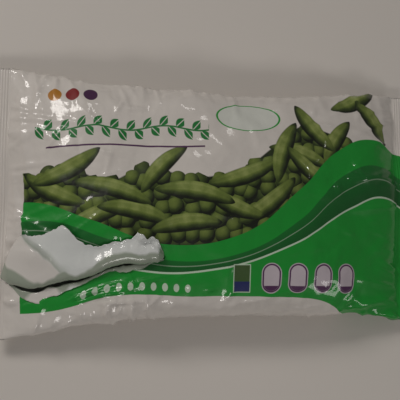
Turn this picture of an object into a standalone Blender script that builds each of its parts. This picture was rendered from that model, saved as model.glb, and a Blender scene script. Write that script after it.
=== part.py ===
"""A pillow bag of frozen pea pods, lying on its back, torn open on its front at the lower left.

X runs along the bag from end seal to end seal, Y across it, Z up. The origin is on the surface the
bag lies on, under the middle of its bounding box. All sizes are in metres.
"""

import bisect
import math
import random

import bmesh
import bpy
import numpy as np

# Bag: driving dimensions
BAG_LENGTH = 0.285
SEAL_WIDTH = 0.009
MID_HALF_WIDTH = 0.0752
END_HALF_WIDTH = 0.0892
HEIGHT = 0.044
WALL = 0.0008
PARTING_HEIGHT = 0.018
SEAL_HEIGHT = 0.010

# How the section changes along the bag: powers of the share of the way from the middle to a seal
SECTION_POWER = 2.5
FILL_POWER = 3.0
FILL_ROUNDING = 0.85
SPREAD_POWER = 2.2
PARTING_POWER = 2.2
RIGHT_SPREAD = 0.30

# Waves: the middle line's wander, the seals' ripple as (height, radian), and the front film's swell
# over the pods as (height, x radian, y radian, phase)
WANDER = 0.0010
WANDER_RADIAN = 0.063
SEAL_RIPPLES = [(0.0022, 0.021), (0.0012, 0.011)]
SWELLS = [(0.0016, 0.019, 0.034, 0.0), (0.0013, -0.041, 0.0135, 1.1), (0.0009, 0.0112, 0.060, 2.0)]

# Where a long side is drawn in, as (x, sign of its Y, depth, half-length)
SIDE_DENTS = [(0.030, 1, 0.0032, 0.035), (0.104, -1, 0.0040, 0.020)]

# Lap seam: a strip of doubled film along the middle of the back
SEAM_WIDTH = 0.0120
SEAM_STEP_RUN = 0.0004
SEAM_THICKNESS = 0.0008

# Tear: the line where the film folds back, and the lower torn edge, as (x, y)
FOLD_LINE = [
    (-0.126, -0.0500), (-0.116, -0.0525), (-0.105, -0.0503), (-0.095, -0.0475), (-0.085, -0.0462),
    (-0.076, -0.0430), (-0.066, -0.0388), (-0.056, -0.0368), (-0.047, -0.0372), (-0.034, -0.0370),
]
LOWER_EDGE = [
    (-0.126, -0.0555), (-0.115, -0.0635), (-0.103, -0.0592), (-0.092, -0.0575), (-0.084, -0.0555),
    (-0.075, -0.0518), (-0.066, -0.0482), (-0.056, -0.0463), (-0.047, -0.0450), (-0.034, -0.0405),
]
# How far the folded film reaches back from the fold line, as (x, reach)
FLAP_REACH = [
    (-0.126, 0.0120), (-0.120, 0.0255), (-0.110, 0.0262), (-0.1044, 0.0265), (-0.0972, 0.0290),
    (-0.0936, 0.0262), (-0.086, 0.0185), (-0.0781, 0.0124), (-0.0675, 0.0092), (-0.0549, 0.0085),
    (-0.0506, 0.0135), (-0.0445, 0.0090), (-0.0414, 0.0100), (-0.034, 0.0040),
]
FLAP_BEND_RADIUS = 0.0014
FLAP_BEND_TURNS = (50, 100, 150)
FLAP_RUN_SHARES = (0.0, 0.25, 0.5, 0.75, 1.0)
FLAP_LIFT = 0.0030
LIP_LIFT = 0.0012

# The front film sags round the tear: depth, middle, half-lengths and slant
SAG_DEPTH = 0.0085
SAG_X = -0.082
SAG_Y = -0.047
SAG_HALF_LENGTH = 0.044
SAG_HALF_WIDTH = 0.021
SAG_SLANT = 0.25

# Pods
MOST_PODS = 54
POD_LENGTH = 0.075
POD_WIDTH = 0.0160
POD_THICKNESS = 0.0117
POD_ARCH = 0.0038
PEAS_IN_POD = 6
PEA_BULGE = 0.13

# Room kept round the pods
POD_CLEARANCE = 0.0005
SIDE_CLEARANCE = 0.0012
END_CLEARANCE = 0.007
TEAR_CLEARANCE = 0.004
TEAR_ROOM_END = 0.004
TEAR_ROOM_FADE = 0.034

# The heap before it settles: layers in three columns along the bag
HEAP_SEED = 3
HEAP_MIDDLE_LAYERS = (0.0080, 0.0200, 0.0330)
HEAP_END_LAYERS = (0.0110, 0.0240)
HEAP_END_X = 0.083
HEAP_ROWS = 8
HEAP_ROW_STEP = 0.0178
HEAP_SPREAD_X = 0.003
HEAP_SPREAD_YAW = 0.25
HEAP_CLEAR_OF_TEAR_Y = -0.045

CAVITY_HALF_LENGTH = BAG_LENGTH / 2 - SEAL_WIDTH
UPPER_RISE = HEIGHT - PARTING_HEIGHT
LOWER_DROP = PARTING_HEIGHT + 0.0015
PANEL_FLOOR = SEAM_THICKNESS


def smooth(share):
    """Eases a share from 0 to 1, held at both ends."""
    share = np.clip(share, 0.0, 1.0)
    return share * share * (3 - 2 * share)


def curve_through(points, x):
    """A smooth line through (x, value) points, by cubic pieces whose slopes follow their neighbours."""
    xs = [point[0] for point in points]
    values = [point[1] for point in points]
    slopes = np.gradient(values, xs)
    i = min(max(bisect.bisect_right(xs, x) - 1, 0), len(xs) - 2)
    run = xs[i + 1] - xs[i]
    t = min(max((x - xs[i]) / run, 0.0), 1.0)
    return (
        (2 * t**3 - 3 * t**2 + 1) * values[i]
        + (t**3 - 2 * t**2 + t) * run * slopes[i]
        + (3 * t**2 - 2 * t**3) * values[i + 1]
        + (t**3 - t**2) * run * slopes[i + 1]
    )


def fill_share(x):
    """How full the bag is at x: 1 in the middle, 0 at the end seals."""
    share = np.minimum(np.abs(x) / CAVITY_HALF_LENGTH, 1.0)
    return (1 - share**FILL_POWER) ** FILL_ROUNDING


def half_width(x, side):
    """From the middle line to the long side with that sign of Y. The film tube is drawn in where it is
    full, and spreads to its flat width at the seals."""
    share = np.minimum(np.abs(x) / CAVITY_HALF_LENGTH, 1.0)
    spread = np.where(x < 0, 1.0, RIGHT_SPREAD)
    dents = sum(
        depth * np.exp(-(((x - at) / half_length) ** 2)) * (np.sign(side) == dented)
        for at, dented, depth, half_length in SIDE_DENTS
    )
    return MID_HALF_WIDTH + (END_HALF_WIDTH - MID_HALF_WIDTH) * spread * share**SPREAD_POWER - dents


def wander(x):
    return WANDER * np.sin(np.clip(x, -CAVITY_HALF_LENGTH, CAVITY_HALF_LENGTH) / WANDER_RADIAN)


def centre_y(x):
    """The bag's middle line wanders a little, from y = 0 at the left end, which is the widest."""
    return wander(x) - wander(-CAVITY_HALF_LENGTH)


def parting_z(x, y):
    """Height of the surface that parts the front film from the back film, down to the wavy end seals."""
    share = np.minimum(np.abs(x) / CAVITY_HALF_LENGTH, 1.0) ** PARTING_POWER
    seal = SEAL_HEIGHT + sum(height * np.sin(y / radian + np.sign(x)) for height, radian in SEAL_RIPPLES)
    return PARTING_HEIGHT + (seal - PARTING_HEIGHT) * share


def front_swell(x, y):
    """The front film's rise and fall over the pods, and its sag round the tear."""
    swell = sum(height * np.sin(x / along + y / across + phase) for height, along, across, phase in SWELLS)
    off_line = (y - SAG_Y - SAG_SLANT * (x - SAG_X)) / SAG_HALF_WIDTH
    off_middle = (x - SAG_X) / SAG_HALF_LENGTH
    return swell - SAG_DEPTH * np.exp(-(off_line**2) - off_middle**2)


def section_point(x, angle, inset):
    """(y, z) of the bag's section at x. Angle runs from 90 degrees at the top, by 180 at the -Y fold,
    270 at the back's middle and 360 at the +Y fold, to the top again. Inset goes in from the outside."""
    across = np.cos(angle)
    up = np.sin(angle)
    share = np.sign(across) * np.abs(across) ** (2 / SECTION_POWER)
    rise = np.abs(up) ** (2 / SECTION_POWER)
    y = centre_y(x) + (half_width(x, share) - inset) * share
    middle = parting_z(x, y)
    full = fill_share(x)
    top = middle + (UPPER_RISE * full + WALL - inset) * rise + front_swell(x, y) * rise * full
    drop = LOWER_DROP * full + WALL - inset
    bottom = np.maximum(middle - drop * rise, PANEL_FLOOR + inset)
    return y, np.where(up >= 0, top, bottom)


class Section:
    """The outside of the bag's section at one x, measured along the film."""

    STEPS_A_DEGREE = 4
    DENSE = np.radians(np.linspace(90.0, 540.0, 450 * STEPS_A_DEGREE + 1))
    FOLD_MINUS = 90 * STEPS_A_DEGREE
    FOLD_PLUS = 270 * STEPS_A_DEGREE
    ROUND = 360 * STEPS_A_DEGREE

    def __init__(self, x):
        self.x = x
        y, z = section_point(x, self.DENSE, 0.0)
        self.y = y
        self.arc = np.concatenate([[0.0], np.cumsum(np.hypot(np.diff(y), np.diff(z)))])

    def arc_on_front(self, y):
        """Film distance from the top angle to the front point at y, for y short of the -Y fold."""
        stretch = slice(0, self.FOLD_MINUS + 1)
        return float(np.interp(-y, -self.y[stretch], self.arc[stretch]))

    def arc_on_back(self, y):
        stretch = slice(self.FOLD_MINUS, self.FOLD_PLUS + 1)
        return float(np.interp(y, self.y[stretch], self.arc[stretch]))

    def angle_at(self, arc):
        return np.interp(arc, self.arc, self.DENSE)

    def front_frame(self, arc):
        """Point, direction towards the -Y fold and outward normal, as (y, z), at a film distance on the
        front from the top angle."""
        step = np.array([-0.0005, 0.0, 0.0005])
        y, z = section_point(self.x, self.angle_at(arc + step + self.arc[self.ROUND]), 0.0)
        tangent = np.array([y[2] - y[0], z[2] - z[0]])
        tangent /= np.linalg.norm(tangent)
        normal = np.array([tangent[1], -tangent[0]])
        return np.array([y[1], z[1]]), tangent, normal * np.sign(normal[1])


def ring_arcs(section, upper_y, lower_y):
    """Film distances of one ring's rows, from the tear's lower edge round the back to its fold line,
    and which rows lie on the seam's face."""
    around = section.arc[Section.ROUND]
    lower = section.arc_on_front(lower_y)
    upper = section.arc_on_front(upper_y) + around
    fold_minus = section.arc[Section.FOLD_MINUS]
    fold_plus = section.arc[Section.FOLD_PLUS]
    seam = SEAM_WIDTH / 2
    edges = [section.arc_on_back(y) for y in (-seam, -seam + SEAM_STEP_RUN, seam - SEAM_STEP_RUN, seam)]
    stretches = [
        np.linspace(lower, fold_minus, 5, endpoint=False),
        np.linspace(fold_minus, edges[0], 7, endpoint=False),
        np.array(edges[:3]),
        np.linspace(edges[3], fold_plus, 7, endpoint=False),
        np.linspace(fold_plus, upper, 15),
    ]
    arcs = np.concatenate(stretches)
    on_seam = np.isin(arcs, edges[1:3])
    return arcs, on_seam


def tear_lines(x):
    """(fold y, lower edge y) at x. Past the tear's ends they close to a narrow gap."""
    return curve_through(FOLD_LINE, x), curve_through(LOWER_EDGE, x)


def in_tear(x):
    return FOLD_LINE[0][0] - 1e-6 <= x <= FOLD_LINE[-1][0] + 1e-6


def flap_rows(section, fold_y, reach):
    """Outer and inner points of the folded film at one x: a tight bend, then a run back over the
    front, a little above it. The printed side faces down and the white inner side faces up."""
    start = section.arc_on_front(fold_y)
    point, tangent, normal = section.front_frame(start)
    centre = point + FLAP_BEND_RADIUS * normal
    outer, inner = [], []
    for turn in np.radians(FLAP_BEND_TURNS):
        spoke = math.sin(turn) * tangent - math.cos(turn) * normal
        outer.append(centre + FLAP_BEND_RADIUS * spoke)
        inner.append(centre + (FLAP_BEND_RADIUS + WALL) * spoke)
    for share in FLAP_RUN_SHARES:
        point, tangent, normal = section.front_frame(start - reach * share)
        lift = 2 * FLAP_BEND_RADIUS + FLAP_LIFT * share**1.5
        outer.append(point + lift * normal)
        inner.append(point + (lift + WALL) * normal)
    return [(section.x, y, z) for y, z in outer], [(section.x, y, z) for y, z in inner]


def stations():
    """X of every ring between the end seals, closer together at the tear and near the seals."""
    left_end = -CAVITY_HALF_LENGTH + 0.0025
    tear = np.linspace(FOLD_LINE[0][0], FOLD_LINE[-1][0], 20)
    right = np.linspace(FOLD_LINE[-1][0], 0.112, 15)[1:]
    return [left_end, *tear, *right, 0.122, 0.128, -left_end]


def zip_face_strip(ring, points):
    """Triangles that close a flat, thin loop, between its two chains from one side to the other."""
    ys = [points[i][1] for i in ring]
    first = ys.index(min(ys))
    turned = ring[first:] + ring[:first]
    ys = [points[i][1] for i in turned]
    last = ys.index(max(ys))
    one = turned[: last + 1]
    other = [turned[0]] + turned[last:][::-1]
    faces = []
    a, b = 0, 0
    while a < len(one) - 1 or b < len(other) - 1:
        move_a = b == len(other) - 1 or (
            a < len(one) - 1 and points[one[a + 1]][1] <= points[other[b + 1]][1]
        )
        if move_a:
            faces.append((one[a], one[a + 1], other[b]))
            a += 1
        else:
            faces.append((one[a], other[b + 1], other[b]))
            b += 1
    return [face for face in faces if len(set(face)) == 3]


def add_points(points, new):
    first = len(points)
    points.extend(new)
    return list(range(first, len(points)))


def ring_points(x, inset, lift_lip):
    """The points of one ring. The seam's face drops below the back, and the torn lower edge lifts."""
    section = Section(x)
    fold_y, lower_y = tear_lines(x)
    arcs, on_seam = ring_arcs(section, fold_y, lower_y)
    y, z = section_point(x, section.angle_at(arcs), inset)
    if inset == 0.0:
        z = z - SEAM_THICKNESS * on_seam
    if lift_lip:
        z[0] += LIP_LIFT
    return section, [(x, float(a), float(b)) for a, b in zip(y, z)]


def bag_film():
    """The bag's film as one closed solid: outside, inside, torn edges, folded flap and end seals."""
    points = []
    xs = stations()
    outer, inner, outer_flap, inner_flap = [], [], {}, {}
    for i, x in enumerate(xs):
        open_here = in_tear(x)
        inside_tear = open_here and in_tear(xs[i - 1]) and in_tear(xs[i + 1])
        section, ring = ring_points(x, 0.0, inside_tear)
        outer.append(add_points(points, ring))
        inner.append(add_points(points, ring_points(x, WALL, inside_tear)[1]))
        if inside_tear:
            reach = float(np.interp(x, *zip(*FLAP_REACH)))
            rows_out, rows_in = flap_rows(section, tear_lines(x)[0], reach)
            outer_flap[i] = add_points(points, rows_out)
            inner_flap[i] = add_points(points, rows_in)

    faces = film_sheet(xs, outer, outer_flap) + film_sheet(xs, inner, inner_flap)
    faces += torn_edge(xs, outer, inner, outer_flap, inner_flap)
    for end, side in ((0, -1), (-1, 1)):
        faces += end_seal(points, outer[end], side)
        faces += zip_face_strip(inner[end], points)
    return points, faces


def film_sheet(xs, rings, flaps):
    """Faces of one side of the film: the tube, left open along the tear, and the flap."""
    faces = []
    for i in range(len(xs) - 1):
        near, far = rings[i], rings[i + 1]
        for j in range(len(near) - 1):
            faces.append((near[j], far[j], far[j + 1], near[j + 1]))
        if not (in_tear(xs[i]) and in_tear(xs[i + 1])):
            faces.append((near[-1], far[-1], far[0], near[0]))
            continue
        strip_near = [near[-1], *flaps.get(i, [])]
        strip_far = [far[-1], *flaps.get(i + 1, [])]
        for k in range(max(len(strip_near), len(strip_far)) - 1):
            corners = [
                strip_near[min(k, len(strip_near) - 1)],
                strip_far[min(k, len(strip_far) - 1)],
                strip_far[min(k + 1, len(strip_far) - 1)],
                strip_near[min(k + 1, len(strip_near) - 1)],
            ]
            faces.append(tuple(dict.fromkeys(corners)))
    return faces


def torn_edge(xs, outer, inner, outer_flap, inner_flap):
    """Faces across the film's thickness, all round the tear."""
    torn = [i for i, x in enumerate(xs) if in_tear(x)]
    upper = [(outer_flap[i][-1], inner_flap[i][-1]) for i in torn if i in outer_flap]
    first, last = torn[0], torn[-1]
    loop = [(outer[first][0], inner[first][0]), (outer[first][-1], inner[first][-1])]
    loop += upper
    loop += [(outer[last][-1], inner[last][-1])]
    loop += [(outer[i][0], inner[i][0]) for i in reversed(torn[1:])]
    faces = []
    for k, (out_a, in_a) in enumerate(loop):
        out_b, in_b = loop[(k + 1) % len(loop)]
        faces.append((out_a, out_b, in_b, in_a))
    return faces


def end_seal(points, ring, side):
    """The crimped strip beyond the cavity: the two films pressed together, out to the cut edge."""
    faces = []
    for x in (side * CAVITY_HALF_LENGTH, side * BAG_LENGTH / 2):
        flat = add_points(points, ring_points(x, 0.0, False)[1])
        for j in range(len(ring)):
            k = (j + 1) % len(ring)
            faces.append((ring[j], flat[j], flat[k], ring[k]))
        ring = flat
    return faces + zip_face_strip(ring, points)


def pod_profile(share):
    """Half-width of a pod at a share of its length, as a share of the widest: blunt at the stem,
    drawn out to a point at the tip."""
    body = (4 * share * (1 - share)) ** 0.55
    return body * (1 - 0.18 * (share - 0.35) ** 2)


def pod_bulge(share):
    """The pod's thickness swells over each pea."""
    return 1 - PEA_BULGE + PEA_BULGE * np.cos(2 * np.pi * (PEAS_IN_POD * share - 0.5))


def pod_mesh():
    """One pod along X, lying on its side, arched in the XY plane."""
    shares = [0.012, 0.05, 0.11, 0.19, 0.28, 0.37, 0.46, 0.55, 0.64, 0.73, 0.82, 0.90, 0.96, 0.99]
    # Seam ridge, two cheeks, keel and two cheeks, as (across, up) shares of half-width and half-thickness
    outline = [(1.0, 0.0), (0.42, 0.93), (-0.48, 0.90), (-1.0, 0.0), (-0.48, -0.90), (0.42, -0.93)]
    points = [(-POD_LENGTH / 2, -POD_ARCH, 0.0)]
    faces = []
    for share in shares:
        x = (share - 0.5) * POD_LENGTH
        arch = POD_ARCH * (1 - (2 * share - 1) ** 2) - POD_ARCH
        width = POD_WIDTH / 2 * pod_profile(share)
        thickness = POD_THICKNESS / 2 * pod_profile(share) * pod_bulge(share)
        points += [(x, arch + across * width, up * thickness) for across, up in outline]
    points.append((POD_LENGTH / 2, -POD_ARCH, 0.0))
    sides = len(outline)
    tip = len(points) - 1
    for j in range(sides):
        k = (j + 1) % sides
        faces.append((0, 1 + j, 1 + k))
        for i in range(len(shares) - 1):
            a = 1 + i * sides
            faces.append((a + k, a + j, a + j + sides, a + k + sides))
        a = 1 + (len(shares) - 1) * sides
        faces.append((tip, a + k, a + j))
    return points, faces


def front_limit(x, y):
    """Height of the front film's inside at x, y, away from the side folds."""
    off = y - centre_y(x)
    share = np.clip(np.abs(off / half_width(x, off)), 0.0, 0.999)
    rise = (1 - share**SECTION_POWER) ** (1 / SECTION_POWER)
    full = fill_share(x)
    return parting_z(x, y) + (UPPER_RISE * full + front_swell(x, y) * full) * rise


class Heap:
    """Pods eased apart and into the bag's cavity, until they lie in a loose heap.

    Each pod is a row of balls along its arch. Heights are stretched so that a pod lying on its side,
    wider than it is thick, is round in section.
    """

    BALLS = 11
    GROWING_ROUNDS = 700
    EASING_ROUNDS = 120
    STRETCH = POD_WIDTH / POD_THICKNESS
    STRIDE = 1.15
    STEEPEST = 0.5
    THINNEST = 0.0004

    def __init__(self, count, seed):
        draw = random.Random(seed)
        shares = (np.arange(self.BALLS) + 0.5) / self.BALLS
        self.along = (shares - 0.5) * POD_LENGTH
        self.side = POD_ARCH * (1 - (2 * shares - 1) ** 2) - POD_ARCH
        self.radii = POD_WIDTH / 2 * np.maximum(pod_profile(shares), 0.30) + POD_CLEARANCE
        places = []
        for column in (-1, 0, 1):
            for layer, z in enumerate(HEAP_END_LAYERS if column else HEAP_MIDDLE_LAYERS):
                for row in range(HEAP_ROWS):
                    x = column * HEAP_END_X + draw.gauss(0.0, HEAP_SPREAD_X)
                    y = (row - HEAP_ROWS / 2 + 0.25 + 0.5 * (layer % 2)) * HEAP_ROW_STEP
                    if column >= 0 or y > HEAP_CLEAR_OF_TEAR_Y:
                        places.append((x, y, z))
        draw.shuffle(places)
        self.centre = np.array(places[:count])
        turns = [draw.gauss(0.0, HEAP_SPREAD_YAW) + math.pi * draw.randrange(2) for _ in self.centre]
        self.yaw = np.array(turns)
        self.pitch = np.zeros(len(turns))
        self.keep(np.arange(len(turns)))

    def frames(self):
        cos_yaw, sin_yaw = np.cos(self.yaw), np.sin(self.yaw)
        cos_pitch, sin_pitch = np.cos(self.pitch), np.sin(self.pitch)
        along = np.stack([cos_yaw * cos_pitch, sin_yaw * cos_pitch, sin_pitch], axis=1)
        side = np.stack([-sin_yaw, cos_yaw, np.zeros_like(cos_yaw)], axis=1)
        return along, side, np.cross(along, side)

    def balls(self):
        along, side, _ = self.frames()
        return (
            self.centre[:, None]
            + self.along[None, :, None] * along[:, None]
            + self.side[None, :, None] * side[:, None]
        )

    def apart(self, balls, radii):
        """Push on every ball that overlaps a ball of another pod, and how deep it is in one."""
        flat = (balls * (1, 1, self.STRETCH)).reshape(-1, 3)
        size = np.tile(radii, len(balls))
        square = (flat**2).sum(axis=1)
        apart = square[:, None] + square[None] - 2 * flat @ flat.T
        near = apart < (size[:, None] + size[None]) ** 2
        one, other = np.nonzero(near & self.different)
        gap = flat[one] - flat[other]
        distance = np.linalg.norm(gap, axis=1) + 1e-9
        bite = np.maximum(size[one] + size[other] - distance, 0.0)
        push = np.zeros_like(flat)
        np.add.at(push, one, gap * (0.5 * bite / distance)[:, None])
        touching = np.maximum(np.bincount(one, minlength=len(flat)), 1)[:, None]
        push = (push / touching**0.5).reshape(balls.shape)
        deepest = np.zeros(len(flat))
        np.maximum.at(deepest, one, bite)
        return push / (1, 1, self.STRETCH), deepest

    def inside(self, balls, radii):
        """Where each ball has to move to lie in the cavity, clear of the room under the tear."""
        x, y, z = balls[..., 0].copy(), balls[..., 1].copy(), balls[..., 2].copy()
        rise = radii / self.STRETCH
        reach = CAVITY_HALF_LENGTH - END_CLEARANCE - radii * 0.8
        x = np.clip(x, -reach, reach)
        full = fill_share(np.minimum(np.abs(x) + 0.6 * radii, CAVITY_HALF_LENGTH))
        off = y - centre_y(x)
        across = half_width(x, off) - WALL - SIDE_CLEARANCE - radii
        middle = parting_z(x, y)
        above = (UPPER_RISE + np.minimum(front_swell(x, y), SWELLS[0][0])) * full - rise
        below = LOWER_DROP * full - rise
        off_y = off / across
        off_z = (z - middle) / np.maximum(np.where(z > middle, above, below), self.THINNEST)
        over = (np.abs(off_y) ** SECTION_POWER + np.abs(off_z) ** SECTION_POWER) ** (1 / SECTION_POWER)
        shrink = 1 / np.maximum(over, 1.0)
        y = centre_y(x) + off * shrink
        z = middle + (z - middle) * shrink
        z = np.clip(z, PANEL_FLOOR + WALL + rise, front_limit(x, y) - WALL - rise)
        kept_open = smooth((TEAR_ROOM_END - x) / TEAR_ROOM_FADE)
        line = np.interp(x, *zip(*FOLD_LINE)) + TEAR_CLEARANCE + radii
        fold = centre_y(x) - half_width(x, -1)
        y = np.maximum(y, fold + (line - fold) * kept_open)
        return np.stack([x, y, z], axis=-1) - balls

    def settle(self, smallest, rounds):
        """Eases the pods apart as they grow from a share of their size to the whole."""
        for step in range(rounds):
            radii = self.radii * (smallest + (1 - smallest) * min(1.0, 2 * step / rounds))
            balls = self.balls()
            push = self.apart(balls, radii)[0]
            self.turn_by(push + self.inside(balls + push, radii))

    def leave_out_crowded(self, deepest):
        """Takes out the most crowded pod, and eases the rest, until none is too deep in another or in
        the film."""
        while True:
            balls = self.balls()
            bites = self.apart(balls, self.radii)[1].reshape(balls.shape[:2])
            depth = np.maximum(bites, np.linalg.norm(self.inside(balls, self.radii), axis=2)).max(axis=1)
            worst = int(depth.argmax())
            if depth[worst] <= deepest:
                return
            self.keep(np.delete(np.arange(len(depth)), worst))
            self.settle(1.0, self.EASING_ROUNDS)

    def keep(self, chosen):
        self.centre, self.yaw, self.pitch = self.centre[chosen], self.yaw[chosen], self.pitch[chosen]
        owner = np.repeat(np.arange(len(self.centre)), self.BALLS)
        self.different = owner[:, None] != owner[None]

    def turn_by(self, move):
        """Moves and turns each pod as a rigid whole, as near as it can to what its balls need."""
        along, side, up = self.frames()
        lever = (self.along**2).sum()
        self.centre += self.STRIDE * move.mean(axis=1)
        self.yaw += self.STRIDE * np.einsum("pbk,pk,b->p", move, side, self.along) / lever
        self.pitch += self.STRIDE * np.einsum("pbk,pk,b->p", move, up, self.along) / lever
        self.pitch = np.clip(self.pitch, -self.STEEPEST, self.STEEPEST)


def material(name, colour, roughness):
    made = bpy.data.materials.new(name)
    made.use_nodes = True
    shader = made.node_tree.nodes["Principled BSDF"]
    shader.inputs["Base Color"].default_value = (*colour, 1.0)
    shader.inputs["Roughness"].default_value = roughness
    shader.inputs["Metallic"].default_value = 0.0
    return made


def mesh_object(name, mesh, finish):
    obj = bpy.data.objects.new(name, mesh)
    bpy.context.scene.collection.objects.link(obj)
    if not mesh.materials:
        mesh.materials.append(finish)
    return obj


def mesh_of(name, points, faces, sharp_degrees):
    mesh = bpy.data.meshes.new(name)
    mesh.from_pydata(points, [], faces)
    shape = bmesh.new()
    shape.from_mesh(mesh)
    bmesh.ops.recalc_face_normals(shape, faces=shape.faces)
    shape.to_mesh(mesh)
    shape.free()
    mesh.shade_smooth()
    mesh.set_sharp_from_angle(angle=math.radians(sharp_degrees))
    return mesh


def main():
    for obj in list(bpy.data.objects):
        bpy.data.objects.remove(obj)
    film = material("film", (0.78, 0.76, 0.73), 0.35)
    skin = material("pod_skin", (0.16, 0.27, 0.05), 0.55)
    mesh_object("film_bag", mesh_of("film_bag", *bag_film(), 40), film)
    pod = mesh_of("pod", *pod_mesh(), 60)
    heap = Heap(MOST_PODS, HEAP_SEED)
    heap.settle(0.5, heap.GROWING_ROUNDS)
    heap.leave_out_crowded(POD_CLEARANCE)
    for number, (centre, yaw, pitch) in enumerate(zip(heap.centre, heap.yaw, heap.pitch), start=1):
        placed = mesh_object(f"pod_{number:02d}", pod, skin)
        placed.location = centre
        placed.rotation_euler = (0.0, -pitch, yaw)


main()
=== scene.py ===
"""Looks for a torn-open pillow bag of frozen pea pods, lying on its back.

X runs along the bag, Y across it, Z up, in metres, in the frame's own coordinates. The film's points
come from the CAD model's section, on a finer grid, with the creases, crimps and ragged torn edges that
it leaves out, and with a narrower gap under the fold. The print is drawn in film coordinates: P runs
along the bag, and Q across the film from the front's top line, positive towards +Y.
"""

import math
import random

import bpy
import numpy as np
from mathutils import Matrix, Vector, noise


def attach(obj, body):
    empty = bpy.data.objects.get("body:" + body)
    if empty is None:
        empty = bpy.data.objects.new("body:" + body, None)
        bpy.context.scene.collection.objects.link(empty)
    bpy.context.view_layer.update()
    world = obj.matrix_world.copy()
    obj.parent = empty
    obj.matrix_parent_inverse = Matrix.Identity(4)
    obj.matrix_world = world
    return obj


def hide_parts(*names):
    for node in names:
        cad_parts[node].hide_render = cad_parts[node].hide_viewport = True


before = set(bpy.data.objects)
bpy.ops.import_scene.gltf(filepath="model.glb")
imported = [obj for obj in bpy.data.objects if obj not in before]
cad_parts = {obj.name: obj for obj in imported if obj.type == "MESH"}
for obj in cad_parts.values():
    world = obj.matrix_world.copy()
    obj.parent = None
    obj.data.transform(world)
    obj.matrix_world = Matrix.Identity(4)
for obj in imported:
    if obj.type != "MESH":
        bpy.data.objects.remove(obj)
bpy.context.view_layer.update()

# Bag: the CAD model's section
BAG_LENGTH = 0.285
SEAL_WIDTH = 0.009
MID_HALF_WIDTH = 0.0752
END_HALF_WIDTH = 0.0892
HEIGHT = 0.044
CAD_WALL = 0.0008
PARTING_HEIGHT = 0.018
SEAL_HEIGHT = 0.01
SECTION_POWER = 2.5
FILL_POWER = 3.0
FILL_ROUNDING = 0.85
SPREAD_POWER = 2.2
PARTING_POWER = 2.2
RIGHT_SPREAD = 0.3
WANDER = 0.001
WANDER_RADIAN = 0.063
SIDE_DENTS = [(0.03, 1, 0.0032, 0.035), (0.104, -1, 0.004, 0.02)]
SEAL_RIPPLES = [(0.0022, 0.021), (0.0012, 0.011)]
SWELLS = [(0.0016, 0.019, 0.034, 0.0), (0.0013, -0.041, 0.0135, 1.1), (0.0009, 0.0112, 0.06, 2.0)]
SAG_DEPTH = 0.0085
SAG_X = -0.082
SAG_Y = -0.047
SAG_HALF_LENGTH = 0.044
SAG_HALF_WIDTH = 0.021
SAG_SLANT = 0.25
SEAL_START = BAG_LENGTH / 2 - SEAL_WIDTH
UPPER_RISE = HEIGHT - PARTING_HEIGHT
LOWER_DROP = PARTING_HEIGHT + 0.0015

# Film
FILM_THICKNESS = 0.00025
SEAL_PLY = 0.00035
SEAM_WIDTH = 0.012
SEAM_STEP_RUN = 0.0006
SEAM_THICKNESS = 0.0006
RIB_PITCH = 0.0018
RIB_HEIGHT = 0.00022
RIB_START = 0.001
CUT_TOOTH = 0.00045

# Grid of the film
TEAR_STATIONS = 108
RIGHT_STATIONS = 90
SEAL_STATIONS = 20
FRONT_ROWS = 92
SIDE_ROWS = 32
BACK_ROWS = 22
SEAM_ROWS = 5
ROLL_ROWS = 12
RUN_ROWS = 18
CUFF_ROWS = 5
FRAME_STEP = 0.0005

# Tear: where the film folds back, and the lower torn edge, as (x, y)
FOLD_LINE = [
    (-0.132, -0.0505), (-0.126, -0.05), (-0.116, -0.0525), (-0.105, -0.0503), (-0.095, -0.0475),
    (-0.085, -0.0462), (-0.076, -0.043), (-0.066, -0.0388), (-0.056, -0.0368), (-0.047, -0.0372),
    (-0.04, -0.0362), (-0.033, -0.037),
]
LOWER_EDGE = [
    (-0.132, -0.052), (-0.126, -0.056), (-0.115, -0.0602), (-0.103, -0.0567), (-0.092, -0.0544),
    (-0.084, -0.0526), (-0.075, -0.0487), (-0.066, -0.0449), (-0.056, -0.0431), (-0.047, -0.0424),
    (-0.04, -0.04), (-0.033, -0.0385),
]
TEAR_LEFT = FOLD_LINE[0][0]
TEAR_RIGHT = FOLD_LINE[-1][0]
TEAR_TAPER = 0.005
# How ragged the fold line and the torn edges are, as (noise row, height, pitch)
FOLD_JITTER = (2.0, 0.0008, 0.009)
LOWER_JITTER = (7.0, 0.001, 0.006)
FLAP_JITTER = (4.0, 0.0016, 0.0045)
CUFF_JITTER = (5.0, 0.0007, 0.0062)
# Widths above and below the tear where the film has no creases
SMOOTH_ABOVE = 0.008
SMOOTH_BELOW = 0.006
# How far the folded film reaches back from the fold line, as (x, reach)
FLAP_REACH = [
    (-0.132, 0.004), (-0.129, 0.0235), (-0.12, 0.0265), (-0.11, 0.0262), (-0.1044, 0.0265),
    (-0.0972, 0.029), (-0.0936, 0.0262), (-0.088, 0.02), (-0.0826, 0.0155), (-0.0781, 0.0124),
    (-0.0675, 0.0092), (-0.0549, 0.0085), (-0.0506, 0.014), (-0.0469, 0.013), (-0.0445, 0.009),
    (-0.0414, 0.0104), (-0.0377, 0.0082), (-0.035, 0.004), (-0.033, 0.0015),
]
# How far the cuff, the lower torn edge, curls out over the front, as (x, reach)
CUFF_REACH = [
    (-0.132, 0.0006), (-0.124, 0.0024), (-0.1165, 0.005), (-0.11, 0.0062), (-0.1, 0.0046), (-0.092, 0.003),
    (-0.085, 0.0014), (-0.075, 0.0008), (-0.066, 0.001), (-0.06, 0.0026), (-0.055, 0.0032), (-0.05, 0.002),
    (-0.044, 0.0008), (-0.033, 0.0005),
]
LEAST_FLAP = 0.0008
LEAST_CUFF = 0.0004
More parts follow.
